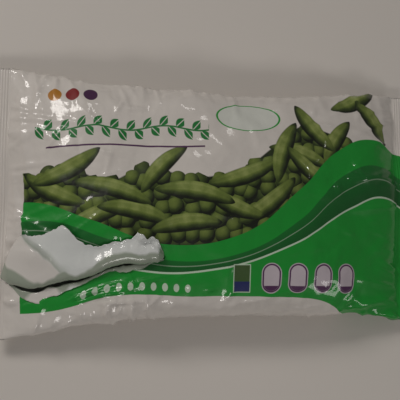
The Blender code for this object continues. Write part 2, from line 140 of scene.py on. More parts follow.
# Section of the fold's roll, as (towards -Y, up) from the fold line, and its length along the film
ROLL = [
    (0.0, 0.0), (0.003, 0.0006), (0.0041, 0.0022), (0.0033, 0.0042), (0.0008, 0.0056), (-0.0022, 0.006),
]
ROLL_LENGTH = 0.0135
ROLL_TIP_SCALE = 0.15
# The cuff's roll, as a share of the fold's, and its heights over the front
CUFF_CURL = 0.16
CUFF_TIP_SCALE = 0.4
CUFF_GAP = 0.0003
CUFF_TILT = 0.0006
# Folded film: its heights over the front, and a point (x, y) of its tongue's ridge
FLAP_GAP = 0.0006
FLAP_TILT = 0.0018
PUFF_HEIGHT = 0.008
RIDGE_AT = (-0.1231, -0.0258)
RIDGE_SLOPE = -0.75
RIDGE_RUN = 0.006
# Its crumple, as (height, (pitch along, pitch across), noise row)
KNOBS = (0.004, (0.0052, 0.006), 3.1)
FINE_KNOBS = (0.0022, (0.0026, 0.003), 9.4)
FLAP_WAVES = (0.0015, (0.011, 0.01), 1.7)
# How far the tongue's left side bulges out, and its tip leans in
BULGE = 0.0048
TIP_LEAN = 0.003
# Where along the bag the tongue and its bulge end, and the knobs start, as (x, run)
TONGUE_END = (-0.088, 0.012)
BULGE_END = (-0.117, 0.014)
KNOB_START = (-0.056, 0.008)
# The torn film's strips of painted shade, one from its fold to its top line, one from the ridge's foot, as
# (x, distance from the fold along the film)
FOLD_SHADE_TOP = [
    (-0.132, 0.0175), (-0.124, 0.016), (-0.117, 0.0125), (-0.111, 0.0105), (-0.102, 0.0112),
    (-0.096, 0.014), (-0.091, 0.0112), (-0.085, 0.011), (-0.079, 0.0128), (-0.073, 0.0155), (-0.06, 0.015),
    (-0.05, 0.0138), (-0.033, 0.013),
]
RIDGE_FOOT = [
    (-0.132, 0.042), (-0.126, 0.039), (-0.12, 0.035), (-0.11, 0.0275), (-0.104, 0.0215), (-0.1, 0.0165),
    (-0.096, 0.0125), (-0.033, 0.011),
]
RIDGE_SHADE_WIDTH = 0.0066
RIDGE_SHADE_END = (-0.094, 0.006)
RIDGE_SHADE_DEPTH = 0.75
TONGUE_WARMTH = 0.85

# Print block, and its lines as (P, Q)
PRINT_LEFT = -0.1225
PRINT_BLUR = 0.00035
HILL_TOP = [
    (-0.142, -0.004), (-0.115, -0.002), (-0.08, -0.014), (-0.03, -0.03), (0.015, -0.024), (0.055, 0.006),
    (0.085, 0.034), (0.11, 0.044), (0.133, 0.038), (0.142, 0.036),
]
DARK_TOP = [
    (-0.142, -0.02), (-0.11, -0.014), (-0.07, -0.026), (-0.03, -0.04), (0.015, -0.036), (0.055, -0.014),
    (0.09, 0.018), (0.115, 0.026), (0.142, 0.016),
]
DARK_BOTTOM = [
    (-0.142, -0.026), (-0.1, -0.03), (-0.05, -0.046), (0.0, -0.046), (0.05, -0.03), (0.095, -0.004),
    (0.12, 0.004), (0.142, -0.006),
]
GREEN_BOTTOM = [
    (-0.142, -0.073), (-0.1, -0.071), (-0.06, -0.062), (-0.01, -0.0635), (0.05, -0.065), (0.076, -0.069),
    (0.09, -0.08), (0.11, -0.112), (0.142, -0.128),
]
HEAP_TOP = [
    (-0.142, 0.014), (-0.118, 0.018), (-0.095, 0.024), (-0.07, 0.015), (-0.045, 0.024), (-0.015, 0.017),
    (0.015, 0.023), (0.04, 0.04), (0.062, 0.055), (0.075, 0.051), (0.09, 0.045), (0.105, 0.04),
    (0.142, 0.036),
]
# Two layers of printed peas, as (distance apart, radius, shift, brightness)
PEA_LAYERS = [(0.0098, 0.0056, (0.0031, 0.0047), 0.62), (0.0096, 0.0056, (0.0, 0.0), 0.92)]
PEA_SCATTER = 0.62
# Printed pods, as (P, Q, degrees, half-length, half-width, bend)
PRINTED_PODS = [
    (-0.078, -0.012, 24, 0.023, 0.006, 0.0028), (0.056, 0.03, -16, 0.022, 0.0058, 0.0026),
    (-0.104, 0.004, 152, 0.022, 0.006, 0.003), (-0.052, -0.008, -12, 0.024, 0.006, 0.003),
    (0.034, -0.004, 38, 0.024, 0.0062, -0.003), (-0.02, -0.016, 6, 0.023, 0.006, 0.0028),
    (0.01, -0.006, -24, 0.022, 0.0058, -0.0028), (0.082, 0.04, 58, 0.02, 0.006, 0.0026),
    (-0.094, 0.018, 28, 0.024, 0.0062, -0.0032), (-0.066, 0.006, 164, 0.026, 0.006, -0.0028),
    (-0.036, 0.02, 46, 0.021, 0.0058, 0.003), (-0.014, 0.004, -10, 0.026, 0.0062, 0.0034),
    (0.018, 0.014, 20, 0.025, 0.006, -0.0032), (0.044, 0.032, 70, 0.023, 0.0062, 0.003),
    (0.062, 0.018, -40, 0.022, 0.0058, -0.0026), (0.066, 0.048, 128, 0.021, 0.006, 0.0026),
    (0.102, 0.072, 30, 0.022, 0.0066, -0.003), (0.114, 0.058, -52, 0.019, 0.006, 0.0026),
]
POD_BEADS = 5.2
# The print's ornaments: places as (P, Q), sizes as (half-length, half-height), waves as (height, period)
DISCS_AT = (-0.104, 0.069)
DISC_PITCH = 0.0115
DISC_RADIUS = 0.0045
STEM_Q = 0.0455
STEM_ENDS = (-0.1152, -0.0051)
STEM_WAVE = (0.0016, 0.045)
LEAF_PITCH = 0.0105
LEAF_SIZE = (0.0044, 0.0027)
LEAF_DEGREES = 50.0
RULE_Q = 0.0335
RULE_ENDS = (-0.1085, -0.008)
RULE_WAVE = (0.0008, 0.09)
LINE_HALF_WIDTH = 0.00055
BADGE_AT = (0.022, 0.055)
BADGE_SIZE = (0.022, 0.0105)
BADGE_FIELD = 0.94
SEED_PITCH = 0.0072
SEED_SIZE = (0.0018, 0.0026)
SEED_ENDS = (-0.0864, -0.0144)
SEED_RISE = 0.0052
TILE_AT = (0.0165, -0.052)
TILE_SIZE = (0.005, 0.0085)
TILE_SPLIT = -0.054
CAPSULES = 4
CAPSULES_AT = (0.036, -0.052)
CAPSULE_PITCH = 0.0175
CAPSULE_SIZE = (0.0066, 0.01)
CAPSULE_RING = 0.0016
CAPSULE_SPLIT = -0.057
BORDER = 0.0006
# The back's plain frames, as (P, half-length) and (Q, half-height)
BACK_FRAMES_ALONG = [(-0.074, 0.03), (0.06, 0.042)]
BACK_FRAMES_ACROSS = [(0.128, 0.016), (-0.132, 0.02)]
FRAME_HALF_WIDTH = 0.0004

# Gloss: the film's roughness and clear coat, and what all materials share
FILM_GLOSS = (0.45, 0.6)
COAT_ROUGHNESS = 0.07
SPECULAR = 0.3

# Colours, linear
WHITE_FILM = (0.75, 0.705, 0.66, 1.0)
INNER_FILM = (0.78, 0.8, 0.785, 1.0)
INNER_SHADE = (0.72, 0.75, 0.735, 1.0)
# Painted shade: grey-green laid on the torn film along its fold and next to its tongue's ridge
PAINTED_SHADE_COLOUR = (0.36, 0.405, 0.33, 1.0)
BRIGHT_GREEN = (0.01, 0.34, 0.036, 1.0)
MID_GREEN = (0.008, 0.295, 0.03, 1.0)
BAND_GREEN = (0.007, 0.165, 0.024, 1.0)
DEEP_GREEN = (0.006, 0.105, 0.018, 1.0)
LEAF_GREEN = (0.012, 0.2, 0.04, 1.0)
PALE_GREEN = (0.6, 0.74, 0.58, 1.0)
BADGE_WHITE = (0.74, 0.76, 0.7, 1.0)
NAVY = (0.02, 0.028, 0.13, 1.0)
OLIVE = (0.055, 0.11, 0.03, 1.0)
DISC_COLOURS = [(0.5, 0.21, 0.02, 1.0), (0.25, 0.016, 0.018, 1.0), (0.07, 0.02, 0.075, 1.0)]
PURPLE = (0.085, 0.022, 0.09, 1.0)
PALE_LILAC = (0.6, 0.53, 0.58, 1.0)
OLIVES = [
    (0.0, (0.006, 0.01, 0.003, 1.0)), (0.35, (0.045, 0.072, 0.014, 1.0)),
    (0.7, (0.165, 0.225, 0.045, 1.0)), (1.0, (0.4, 0.46, 0.15, 1.0)),
]
POD_DARK = (0.075, 0.19, 0.018, 1.0)
POD_LIGHT = (0.16, 0.32, 0.045, 1.0)
POD_SEAM = (0.22, 0.36, 0.09, 1.0)
POD_STALK = (0.14, 0.2, 0.045, 1.0)
FROST = (0.62, 0.7, 0.6, 1.0)
FLOOR_DARK = (0.73, 0.69, 0.645, 1.0)
FLOOR_LIGHT = (0.77, 0.725, 0.68, 1.0)

# Pods: the CAD model's sizes, then the finer shape's
POD_LENGTH = 0.075
POD_WIDTH = 0.016
POD_THICKNESS = 0.0117
POD_ARCH = 0.0038
PEAS_IN_POD = 6
POD_RINGS = 40
POD_SIDES = 14
STALK_SHARE = 0.03
STALK_RADIUS = 0.0013
CALYX_SHARE = 0.07
CALYX_LOBES = 5
CALYX_FLARE = 0.16
SEAM_RIDGE = 1.04

# Studio: the view, and lamps as (name, place, power, size, colour)
CAMERA_LENS = 68.3
CAMERA_TILT = (9.0, 7.8)
CAMERA_TARGET = (-0.0091, 0.0007, 0.03)
CAMERA_DISTANCE = 0.495
FLOOR_HALF_SIDE = 4.0
SKY_COLOUR = (1.0, 0.965, 0.93, 1.0)
SKY_STRENGTH = 0.1
LAMPS = [
    ("left", (-0.84, 0.68, 0.8), 5.0, 0.32, (1.0, 0.955, 0.91)),
    ("right", (0.95, -0.72, 0.8), 1.4, 0.28, (1.0, 0.97, 0.94)),
    ("front", (-0.1, -0.98, 0.92), 2.2, 0.26, (1.0, 0.96, 0.92)),
    ("back", (0.1, 0.95, 0.95), 0.7, 0.18, (1.0, 0.96, 0.92)),
    ("left_lamp", (-0.6, 0.6, 0.85), 0.12, 0.02, (1.0, 0.98, 0.94)),
    ("right_lamp", (0.8, 0.42, 0.85), 0.12, 0.02, (1.0, 0.98, 0.94)),
]


def smooth(share):
    """Eases a share from 0 to 1, held at both ends."""
    share = np.clip(share, 0.0, 1.0)
    return share * share * (3 - 2 * share)


def curve_through(points, x):
    """Values at x of a smooth line through (x, value) points."""
    xs, values = np.array(points, dtype=float).T
    slopes = np.gradient(values, xs)
    i = np.clip(np.searchsorted(xs, x, side="right") - 1, 0, len(xs) - 2)
    run = xs[i + 1] - xs[i]
    t = np.clip((x - xs[i]) / run, 0.0, 1.0)
    return (
        (2 * t**3 - 3 * t**2 + 1) * values[i]
        + (t**3 - 2 * t**2 + t) * run * slopes[i]
        + (3 * t**2 - 2 * t**3) * values[i + 1]
        + (t**3 - t**2) * run * slopes[i + 1]
    )


def end_share(x):
    """0 at the bag's middle and 1 from its end seals on."""
    return np.minimum(np.abs(x) / SEAL_START, 1.0)


def fill_share(x):
    return (1 - end_share(x) ** FILL_POWER) ** FILL_ROUNDING


def half_width(x, side):
    spread = np.where(x < 0, 1.0, RIGHT_SPREAD)
    dents = sum(
        depth * np.exp(-(((x - at) / half_length) ** 2)) * (np.sign(side) == dented)
        for at, dented, depth, half_length in SIDE_DENTS
    )
    spread = spread * end_share(x) ** SPREAD_POWER
    return MID_HALF_WIDTH + (END_HALF_WIDTH - MID_HALF_WIDTH) * spread - dents


def wander(x):
    return WANDER * np.sin(np.clip(x, -SEAL_START, SEAL_START) / WANDER_RADIAN)


def centre_y(x):
    return wander(x) - wander(-SEAL_START)


def parting_z(x, y):
    seal = SEAL_HEIGHT + sum(height * np.sin(y / radian + np.sign(x)) for height, radian in SEAL_RIPPLES)
    return PARTING_HEIGHT + (seal - PARTING_HEIGHT) * end_share(x) ** PARTING_POWER


def front_swell(x, y):
    swell = sum(height * np.sin(x / along + y / across + phase) for height, along, across, phase in SWELLS)
    off_line = (y - SAG_Y - SAG_SLANT * (x - SAG_X)) / SAG_HALF_WIDTH
    off_middle = (x - SAG_X) / SAG_HALF_LENGTH
    return swell - SAG_DEPTH * np.exp(-(off_line**2) - off_middle**2)


def section_point(x, angle):
    """(y, z) of the film's outside at x. Angle is 90 degrees at the top, 180 at the -Y fold, 270 at
    the back's middle and 360 at the +Y fold."""
    across = np.cos(angle)
    up = np.sin(angle)
    share = np.sign(across) * np.abs(across) ** (2 / SECTION_POWER)
    rise = np.abs(up) ** (2 / SECTION_POWER)
    y = centre_y(x) + half_width(x, share) * share
    middle = parting_z(x, y)
    full = fill_share(x)
    ply = SEAL_PLY + (CAD_WALL - SEAL_PLY) * np.minimum(4 * full, 1.0)
    top = middle + (UPPER_RISE * full + ply) * rise + front_swell(x, y) * rise * full
    bottom = np.maximum(middle - (LOWER_DROP * full + ply) * rise, SEAM_THICKNESS)
    return y, np.where(up >= 0, top, bottom)


class Section:
    """The film's section at one x, measured along the film from the front's top line."""

    STEPS_A_DEGREE = 6
    DENSE = np.radians(np.linspace(90.0, 540.0, 450 * STEPS_A_DEGREE + 1))
    FOLD_MINUS = 90 * STEPS_A_DEGREE
    FOLD_PLUS = 270 * STEPS_A_DEGREE
    ROUND = 360 * STEPS_A_DEGREE

    def __init__(self, x):
        self.x = x
        y, z = section_point(x, self.DENSE)
        self.y = y
        self.arc = np.concatenate([[0.0], np.cumsum(np.hypot(np.diff(y), np.diff(z)))])
        self.around = self.arc[self.ROUND]

    def arc_on_front(self, y):
        stretch = slice(0, self.FOLD_MINUS + 1)
        return float(np.interp(-y, -self.y[stretch], self.arc[stretch]))

    def arc_on_back(self, y):
        stretch = slice(self.FOLD_MINUS, self.FOLD_PLUS + 1)
        return float(np.interp(y, self.y[stretch], self.arc[stretch]))

    def points(self, arcs):
        return section_point(self.x, np.interp(arcs, self.arc, self.DENSE))

    def front_frame(self, arc):
        """Point, direction towards the -Y fold and outward normal, as (y, z), at a distance on the front."""
        step = FRAME_STEP * np.array([-1, 0, 1])
        y, z = self.points(arc + step + self.around)
        tangent = np.array([y[2] - y[0], z[2] - z[0]])
        tangent /= np.linalg.norm(tangent)
        normal = np.array([tangent[1], -tangent[0]])
        return np.array([y[1], z[1]]), tangent, normal * np.sign(normal[1])


def in_tear(x):
    return TEAR_LEFT <= x <= TEAR_RIGHT


def right_of(x, at, run):
    """Eases from 0 to 1 over a run to the right of a place."""
    return float(smooth((x - at) / run))


def left_of(x, at, run):
    return float(smooth((at - x) / run))


def tear_taper(x):
    """0 at the tear's tips and 1 between them."""
    return right_of(x, TEAR_LEFT, TEAR_TAPER) * left_of(x, TEAR_RIGHT, TEAR_TAPER)


def ragged(x, row, height, pitch):
    """A torn edge's jitter at x. Each row of the noise is another edge."""
    coarse = noise.noise(Vector((x / pitch, row, 0.0)))
    fine = noise.noise(Vector((2.7 * x / pitch, row, 5.0)))
    return height * (coarse + 0.5 * fine)


def bumps(x, y, height, pitch, row):
    """Smooth noise over a surface. Each row of it is another pattern."""
    return height * noise.noise(Vector((x / pitch[0], y / pitch[1], row)))


def stations():
    """X of every ring, closest together along the tear and in the seals' ribs."""
    seal = np.linspace(SEAL_START, BAG_LENGTH / 2, SEAL_STATIONS + 1)
    tear = np.linspace(TEAR_LEFT, TEAR_RIGHT, TEAR_STATIONS)
    rest = np.linspace(TEAR_RIGHT, SEAL_START, RIGHT_STATIONS)
    return [*-seal[::-1], (TEAR_LEFT - SEAL_START) / 2, *tear, *rest[1:-1], *seal]


def ring_arcs(section, upper, lower):
    """Film distances of a ring's rows, from the tear's lower edge round the back to its fold line, and
    which of them lie on the back's lap seam."""
    half = SEAM_WIDTH / 2
    edges = [section.arc_on_back(y) for y in (-half, -half + SEAM_STEP_RUN, half - SEAM_STEP_RUN, half)]
    fold_minus = section.arc[Section.FOLD_MINUS]
    fold_plus = section.arc[Section.FOLD_PLUS]
    arcs = np.concatenate([
        np.linspace(lower, fold_minus, SIDE_ROWS, endpoint=False),
        np.linspace(fold_minus, edges[0], BACK_ROWS, endpoint=False),
        np.array(edges[:2]),
        np.linspace(edges[1], edges[2], SEAM_ROWS)[1:],
        np.linspace(edges[3], fold_plus, BACK_ROWS, endpoint=False),
        np.linspace(fold_plus, upper + section.around, FRONT_ROWS),
    ])
    on_seam = (arcs >= edges[1] - 1e-9) & (arcs <= edges[2] + 1e-9)
    return arcs, on_seam


def fold_back(section, start, side, scale, reach, run_rows, lift_at):
    """Rows of film folded over at a torn edge: a roll, then a run back over the front. Side is 1 where
    the film comes from the +Y side, else -1."""
    point, tangent, normal = section.front_frame(start)
    made = []
    for u in np.linspace(0, len(ROLL) - 1, ROLL_ROWS + 1)[1:]:
        out, up = (float(curve_through(list(enumerate(values)), u)) for values in zip(*ROLL))
        made.append(point + scale * (side * out * tangent + up * normal))
    last_out, last_up = ROLL[-1]
    for k in range(1, run_rows + 1):
        share = k / run_rows
        back = reach * share - scale * last_out
        below, _, up = section.front_frame(start - side * back)
        off_roll = float(smooth(1.15 * share))
        made.append(below + (lift_at(share) * off_roll + scale * last_up * (1 - off_roll)) * up)
    return made


def flap_lift(x, y, share):
    """Extra height of the folded film over the front: a puffed tongue at the left, whose right edge
    falls along a slanting ridge, and a crumpled right end."""
    ridge_y = RIDGE_AT[1] + RIDGE_SLOPE * (x - RIDGE_AT[0])
    tongue = float(smooth((ridge_y - y) / RIDGE_RUN + 0.5)) * left_of(x, *TONGUE_END)
    puff = PUFF_HEIGHT * tongue * math.sin(math.pi * min(1.0, 0.15 + 0.85 * share)) ** 0.7
    knobs = (KNOBS[0] / 2 + bumps(x, y, *KNOBS)) * share + abs(bumps(x, y, *FINE_KNOBS))
    knobs *= right_of(x, *KNOB_START)
    return FLAP_TILT * share + puff + knobs + bumps(x, y, *FLAP_WAVES)


class Film:
    """The film's outer sheet: points with film coordinates and a looseness, and faces."""

    def __init__(self):
        self.points = []
        self.p = []
        self.q = []
        self.around = []
        self.loose = []
        self.faces = []

    def add(self, section, rows, q, loose, shift_x=0.0):
        """Adds a row of points across the bag and returns their indices."""
        first = len(self.points)
        xs = section.x + np.broadcast_to(shift_x, len(rows))
        self.points += [(float(x), float(y), float(z)) for x, (y, z) in zip(xs, rows)]
        self.p += [section.x] * len(rows)
        self.q += list(q)
        self.around += [section.around] * len(rows)
        self.loose += list(loose)
        return list(range(first, first + len(rows)))

    def face(self, *corners):
        corners = list(dict.fromkeys(corners))
        if len(corners) > 2:
            self.faces.append(corners)

    def strip(self, near, far, from_plus_side):
        """Faces between two rows of folded film that start on the same edge."""
        for k in range(max(len(near), len(far)) - 1):
            a, d = (near[min(j, len(near) - 1)] for j in (k, k + 1))
            b, c = (far[min(j, len(far) - 1)] for j in (k, k + 1))
            if from_plus_side:
                self.face(a, d, c, b)
            else:
                self.face(a, b, c, d)

    def corner_coordinates(self):
        """(P, Q) of every face corner. A face across the back's middle counts Q one way only."""
        corners = []
        for face in self.faces:
            q = [self.q[c] for c in face]
            if max(q) - min(q) > self.around[face[0]] / 2:
                q = [value - self.around[c] if value > 0 else value for value, c in zip(q, face)]
            corners += [(self.p[c], value) for c, value in zip(face, q)]
        return corners


def seal_rib(x):
    """Height of the crimped ribs across an end seal."""
    past = abs(x) - SEAL_START
    return RIB_HEIGHT * math.sin(2 * math.pi * past / RIB_PITCH) * float(smooth(past / RIB_START))


def add_ring(film, section, taper, upper, lower):
    """The film round the bag at one x, from the tear's lower edge to its fold line."""
    arcs, on_seam = ring_arcs(section, upper, lower)
    y, z = section.points(arcs)
    z = z - SEAM_THICKNESS * on_seam + seal_rib(section.x)
    shift = 0.0
    if abs(section.x) > BAG_LENGTH / 2 - 1e-6:
        z = parting_z(section.x, y)
        shift = math.copysign(CUT_TOOTH, -section.x) * (np.arange(len(arcs)) % 2)
    from_fold = upper + section.around - arcs
    past_tear = smooth((arcs - lower) / SMOOTH_BELOW) * smooth(from_fold / SMOOTH_ABOVE)
    loose = (1 - taper * (1 - past_tear)) * (abs(section.x) < SEAL_START)
    q = np.where(arcs < section.around / 2, -arcs, section.around - arcs)
    return film.add(section, list(zip(y, z)), q, loose, shift)


def torn_reach(x, taper, reaches, jitter, least):
    return max(float(np.interp(x, *zip(*reaches))) + taper * ragged(x, *jitter), least)


def add_flap(film, section, taper, upper, fold_y):
    """The film torn free above the tear, folded back over the front, its inner side up."""
    x = section.x
    reach = torn_reach(x, taper, FLAP_REACH, FLAP_JITTER, LEAST_FLAP)
    scale = ROLL_TIP_SCALE + (1 - ROLL_TIP_SCALE) * taper
    rows = fold_back(
        section, upper, 1, scale, reach, RUN_ROWS,
        lambda share: FLAP_GAP + taper * flap_lift(x, fold_y + reach * share, share),
    )
    q = -upper - np.concatenate([
        np.linspace(0, scale * ROLL_LENGTH, ROLL_ROWS + 1)[1:],
        scale * ROLL_LENGTH + np.linspace(0, reach, RUN_ROWS + 1)[1:],
    ])
    share = np.linspace(0, 1, len(rows))
    bulge = TIP_LEAN * share**2 - BULGE * np.sin(np.pi * np.minimum(1.0, 1.05 * share))
    return film.add(section, rows, q, 0 * q, bulge * left_of(x, *BULGE_END))


def add_cuff(film, section, taper, lower):
    """The lower torn edge, curled out a little, its inner side up."""
    reach = torn_reach(section.x, taper, CUFF_REACH, CUFF_JITTER, LEAST_CUFF)
    scale = CUFF_CURL * (CUFF_TIP_SCALE + (1 - CUFF_TIP_SCALE) * taper)
    rows = fold_back(
        section, lower, -1, scale, reach, CUFF_ROWS, lambda share: CUFF_GAP + CUFF_TILT * share
    )
    q = -lower - np.linspace(0, reach + scale * ROLL_LENGTH, len(rows) + 1)[1:]
    return film.add(section, rows, q, 0 * q)


def build_film():
    film = Film()
    xs = stations()
    rings, flaps, cuffs = [], {}, {}
    for i, x in enumerate(xs):
        section = Section(x)
        taper = tear_taper(x)
        fold_y = float(curve_through(FOLD_LINE, x)) + taper * ragged(x, *FOLD_JITTER)
        lower_y = float(curve_through(LOWER_EDGE, x)) + taper * ragged(x, *LOWER_JITTER)
        upper = section.arc_on_front(fold_y)
        lower = section.arc_on_front(lower_y)
        rings.append(add_ring(film, section, taper, upper, lower))
        if in_tear(x) and in_tear(xs[i - 1]) and in_tear(xs[i + 1]):
            flaps[i] = add_flap(film, section, taper, upper, fold_y)
            cuffs[i] = add_cuff(film, section, taper, lower)

    for i in range(len(xs) - 1):
        near, far = rings[i], rings[i + 1]
        for j in range(len(near) - 1):
            film.face(near[j], near[j + 1], far[j + 1], far[j])
        if in_tear(xs[i]) and in_tear(xs[i + 1]):
            film.strip([near[-1], *flaps.get(i, [])], [far[-1], *flaps.get(i + 1, [])], True)
            film.strip([near[0], *cuffs.get(i, [])], [far[0], *cuffs.get(i + 1, [])], False)
        else:
            film.face(near[-1], near[0], far[0], far[-1])
    return film


# The photo's own creases, as (start, end, width, height) in film coordinates
NAMED_CREASES = [
    ((-0.098, -0.016), (-0.076, 0.002), 0.002, 0.0016),
    ((-0.092, -0.024), (-0.066, -0.004), 0.0018, 0.0014),
    ((-0.034, -0.009), (-0.022, -0.026), 0.0018, 0.0018),
    ((-0.027, -0.022), (-0.028, -0.05), 0.003, -0.0006),
    ((-0.092, -0.065), (-0.064, -0.056), 0.0018, 0.003),
    ((-0.086, -0.067), (-0.054, -0.056), 0.0016, 0.0026),
    ((-0.078, -0.06), (-0.05, -0.05), 0.0016, 0.0032),
    ((-0.07, -0.062), (-0.036, -0.053), 0.0018, 0.0028),
    ((-0.06, -0.056), (-0.022, -0.048), 0.0022, 0.0026),
    ((-0.074, -0.068), (-0.036, -0.064), 0.002, 0.002),
    ((-0.051, -0.074), (-0.054, -0.104), 0.0026, 0.002),
    ((-0.04, -0.076), (-0.034, -0.098), 0.0024, 0.0014),
    ((0.006, -0.068), (0.016, -0.052), 0.0024, 0.0015),
    ((0.012, -0.07), (0.06, -0.058), 0.0026, 0.0014),
    ((0.034, -0.078), (0.082, -0.07), 0.0024, 0.0014),
    ((0.132, -0.062), (0.066, -0.08), 0.0036, 0.0022),
    ((0.132, -0.078), (0.08, -0.098), 0.0036, 0.0022),
    ((0.132, 0.04), (0.086, 0.052), 0.0036, 0.0016),
    ((-0.127, 0.07), (-0.117, -0.004), 0.006, 0.0017),
    ((-0.119, 0.09), (-0.106, 0.034), 0.0064, 0.0016),
    ((-0.104, 0.094), (-0.076, 0.05), 0.007, 0.0015),
    ((-0.13, 0.02), (-0.122, -0.044), 0.005, 0.0015),
    ((-0.112, 0.046), (-0.09, 0.022), 0.006, 0.0011),
    ((-0.06, 0.086), (-0.044, 0.052), 0.007, 0.0012),
]
# Seeded creases: how many, the spread of their starts, and ranges of their sizes
PLEATS_AN_END = 52
PLEAT_SPREAD = 0.178
PLEAT_LENGTHS = (0.014, 0.02, 0.03, 0.042, 0.058)
PLEAT_HEIGHTS = (0.0008, 0.0024)
PLEAT_WIDTHS = (0.0022, 0.005)
PUCKERS_A_SIDE = 46
PUCKER_SPREAD = 0.126
PUCKER_LENGTHS = (0.01, 0.034)
PUCKER_HEIGHTS = (0.0005, 0.0014)
PUCKER_WIDTHS = (0.0026, 0.0052)
CRUMPLES = 150
CRUMPLE_SPREAD = (0.125, 0.17)
CRUMPLE_LENGTHS = (0.008, 0.03)
CRUMPLE_HEIGHTS = (0.0005, 0.0016)
CRUMPLE_WIDTHS = (0.002, 0.0046)
CREASE_LIMIT = 0.0032
CREASE_POWER = 1.6
DEEPEST = 0.0006
# Rise and fall over the pods, and the finest crumple, as (height, (pitch along, pitch across), noise row)
LUMPS = [(0.0013, (0.024, 0.018), 2.0), (0.0006, (0.01, 0.008), 8.0)]
FINE_CRUMPLE = (0.0003, (0.0042, 0.0038), 4.0)


def seal_pleats(rng):
    """Pleats that run into the bag from its end seals."""
    pleats = []
    for end in (-1, 1):
        for _ in range(PLEATS_AN_END):
            q = rng.uniform(-PLEAT_SPREAD, PLEAT_SPREAD)
            length = rng.choice(PLEAT_LENGTHS) * rng.uniform(0.8, 1.2)
            tip_q = q + (rng.gauss(0.0, 0.22) - 2.0 * q) * length
            height = rng.choice((1, 1, 1, -0.35)) * rng.uniform(*PLEAT_HEIGHTS)
            start = (end * SEAL_START, q)
            tip = (end * (SEAL_START - length), tip_q)
            pleats.append((start, tip, rng.uniform(*PLEAT_WIDTHS), height))
    return pleats


def side_puckers(rng, fold_q):
    """Short creases that run in from the two long folds."""
    puckers = []
    for side in (-1, 1):
        for _ in range(PUCKERS_A_SIDE):
            p = rng.uniform(-PUCKER_SPREAD, PUCKER_SPREAD)
            q = side * (fold_q + rng.uniform(-0.012, 0.004))
            reach = rng.uniform(*PUCKER_LENGTHS)
            tip = (p + rng.gauss(0.0, 0.35) * reach, q - side * reach)
            height = rng.choice((1, 1, -0.4)) * rng.uniform(*PUCKER_HEIGHTS)
            puckers.append(((p, q), tip, rng.uniform(*PUCKER_WIDTHS), height))
    return puckers


def loose_crumples(rng):
    """Small creases scattered over the whole film."""
    crumples = []
    for _ in range(CRUMPLES):
        p, q = (rng.uniform(-spread, spread) for spread in CRUMPLE_SPREAD)
        length = rng.uniform(*CRUMPLE_LENGTHS)
        turn = rng.uniform(0, math.pi)
        tip = (p + length * math.cos(turn), q + length * math.sin(turn))
        height = rng.choice((1, 1, -0.5)) * rng.uniform(*CRUMPLE_HEIGHTS)
        crumples.append(((p, q), tip, rng.uniform(*CRUMPLE_WIDTHS), height))
    return crumples


def crease_height(p, q, start, end, width, height):
    """Height of one crease: a rounded ridge, or a valley, along a line, fading out at its far end."""
    run_p, run_q = end[0] - start[0], end[1] - start[1]
    length = math.hypot(run_p, run_q)
    along = ((p - start[0]) * run_p + (q - start[1]) * run_q) / length**2
    across = ((q - start[1]) * run_p - (p - start[0]) * run_q) / length
    fade = smooth((along + 0.12) / 0.34) * smooth((1 - along) / 0.65)
    half = width * (0.6 + 0.7 * np.clip(along, 0, 1))
    return height * fade * np.maximum(1 - np.abs(across) / half, 0.0) ** CREASE_POWER


def lump(p, q):
    """The film's rise and fall over the pods."""
    return sum(bumps(p, q, *size) for size in LUMPS) + abs(bumps(p, q, *FINE_CRUMPLE))


def relief(film):
    """How far each point of the film stands out of its smooth shape."""
    rng = random.Random(11)
    p = np.array(film.p)
    q = np.array(film.q)
    fold_q = Section(0.0).arc[Section.FOLD_MINUS]
    creases = seal_pleats(rng) + side_puckers(rng, fold_q) + loose_crumples(rng) + NAMED_CREASES
    height = sum(crease_height(p, q, *crease) for crease in creases)
    height = CREASE_LIMIT * np.tanh(height / CREASE_LIMIT)
    height = height + np.array([lump(*spot) for spot in zip(film.p, film.q)])
    return np.maximum(height, -DEEPEST) * np.array(film.loose)


def add_object(name, data):
    added = bpy.data.objects.new(name, data)
    bpy.context.scene.collection.objects.link(added)
    return added


def mesh_piece(name, points, faces, materials, uv=None):
    """A smooth-shaded piece from points and faces, with the (u, v) of each face corner."""
    mesh = bpy.data.meshes.new(name)
    mesh.from_pydata(points, [], faces)
    if uv is not None:
        layer = mesh.uv_layers.new(name="film")
        layer.data.foreach_set("uv", np.array(uv, dtype=np.float32).ravel())
    mesh.shade_smooth()
    for material in materials:
        mesh.materials.append(material)
    return add_object(name, mesh)


def vertex_rows(mesh, name):
    """The "co" or "normal" of every vertex, as rows."""
    values = np.empty(3 * len(mesh.vertices), dtype=np.float32)
    mesh.vertices.foreach_get(name, values)
    return values.reshape(-1, 3)


def raise_points(piece, heights):
    """Moves each point of a piece along its normal, and keeps it above the floor."""
    mesh = piece.data
    points = vertex_rows(mesh, "co") + vertex_rows(mesh, "normal") * heights[:, None]
    points[:, 2] = np.maximum(points[:, 2], 0.0)
    mesh.vertices.foreach_set("co", points.astype(np.float32).ravel())
    mesh.update()


def fill(node, inputs):
    """Puts constants on a node's inputs, and links fields and sockets to them."""
    for slot, value in inputs.items():
        if isinstance(value, Field):
            value = value.socket
        if isinstance(value, bpy.types.NodeSocket):
            node.id_data.links.new(value, node.inputs[slot])
        else:
            node.inputs[slot].default_value = value


